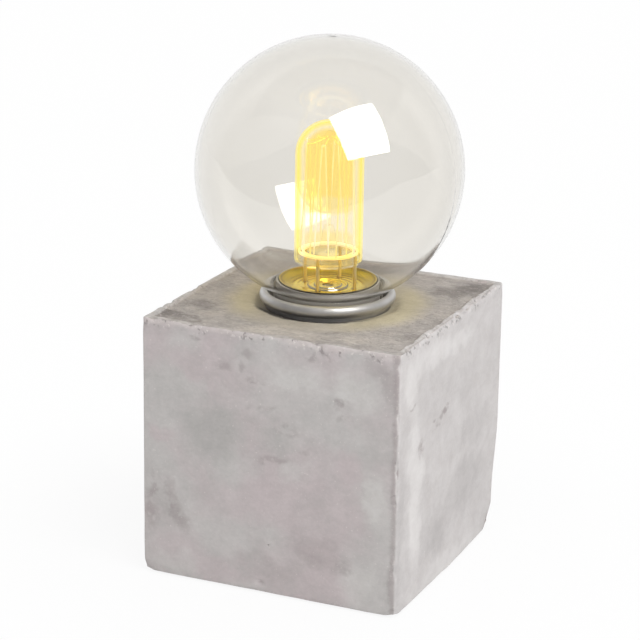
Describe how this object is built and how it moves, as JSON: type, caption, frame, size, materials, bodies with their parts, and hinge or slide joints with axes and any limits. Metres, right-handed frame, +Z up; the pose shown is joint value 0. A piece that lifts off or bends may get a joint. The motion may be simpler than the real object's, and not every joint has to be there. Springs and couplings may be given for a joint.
{
  "type": "table lamp",
  "caption": "Battery table lamp: hand-cast concrete cube with a clear glass globe in a satin nickel collar, over an amber filament lamp on a gold dish.",
  "frame": {"origin": "on the table, under the middle of the block", "axes": "+Z up through the middle of the globe, +Y towards the back, +X to the right seen from the front"},
  "size_m": [0.128, 0.128, 0.2505],
  "materials": {
    "concrete": "cast concrete, matte, with small air holes",
    "soft_pad": "matte",
    "satin_nickel": "satin nickel",
    "gasket": "matte",
    "clear_glass": "clear",
    "gold_dish": "polished",
    "socket_ceramic": "unglazed",
    "brass_fittings": "plain",
    "pin_wire": "drawn wire",
    "stem_glass": "clear",
    "amber_glass": "amber, lit from inside",
    "filament": "coated filament, lit",
    "hook_wire": "fine wire",
    "zinc_steel": "zinc plated",
    "red_wire": "insulation",
    "black_wire": "insulation",
    "black_plastic": "fine spark texture",
    "nylon": "plain",
    "contact_metal": "nickel plated",
    "board_green": "solder mask",
    "component_black": "moulded",
    "switch_metal": "folded sheet",
    "slider_plastic": "ribbed",
    "cell_wrap": "plain sleeve"
  },
  "bodies": {
    "base": {"base_tray": "black_plastic", "battery_1": "cell_wrap", "battery_2": "cell_wrap", "battery_3": "cell_wrap", "battery_lead_negative": "black_wire", "battery_lead_positive": "red_wire", "board_components": "component_black", "board_screws": "zinc_steel", "collar": "satin_nickel", "concrete_block": "concrete", "contact_plates": "contact_metal", "contact_springs": "contact_metal", "driver_board": "board_green", "filament_hairpins": "filament", "filament_ring_inner": "pin_wire", "filament_ring_outer": "pin_wire", "foot_pads": "soft_pad", "globe_gasket": "gasket", "lamp_foot": "stem_glass", "lamp_pins": "pin_wire", "lamp_socket": "socket_ceramic", "lamp_tube": "amber_glass", "lamp_wire_negative": "black_wire", "lamp_wire_positive": "red_wire", "nipple_nut": "zinc_steel", "nipple_washer": "zinc_steel", "pin_sleeves": "brass_fittings", "reflector_dish": "gold_dish", "screw_plugs": "nylon", "support_rod": "stem_glass", "switch_body": "switch_metal", "threaded_nipple": "zinc_steel", "top_hooks": "hook_wire", "tray_screws": "zinc_steel"},
    "glass": {"globe": "clear_glass"},
    "door": {"battery_door": "black_plastic"},
    "slider": {"switch_slider": "slider_plastic"}
  },
  "joints": [
    {"name": "globe_lift", "type": "slide", "parent": "base", "child": "glass", "axis": [0, 0, 1], "range_m": [0, 0.1]},
    {"name": "battery_door_hinge", "type": "hinge", "parent": "base", "child": "door", "pos_m": [0.01625, 0.0266, 0.0039], "axis": [1, 0, 0], "range_deg": [0, 95]},
    {"name": "switch_slide", "type": "slide", "parent": "base", "child": "slider", "axis": [0, -1, 0], "range_m": [0, 0.004]}
  ]
}
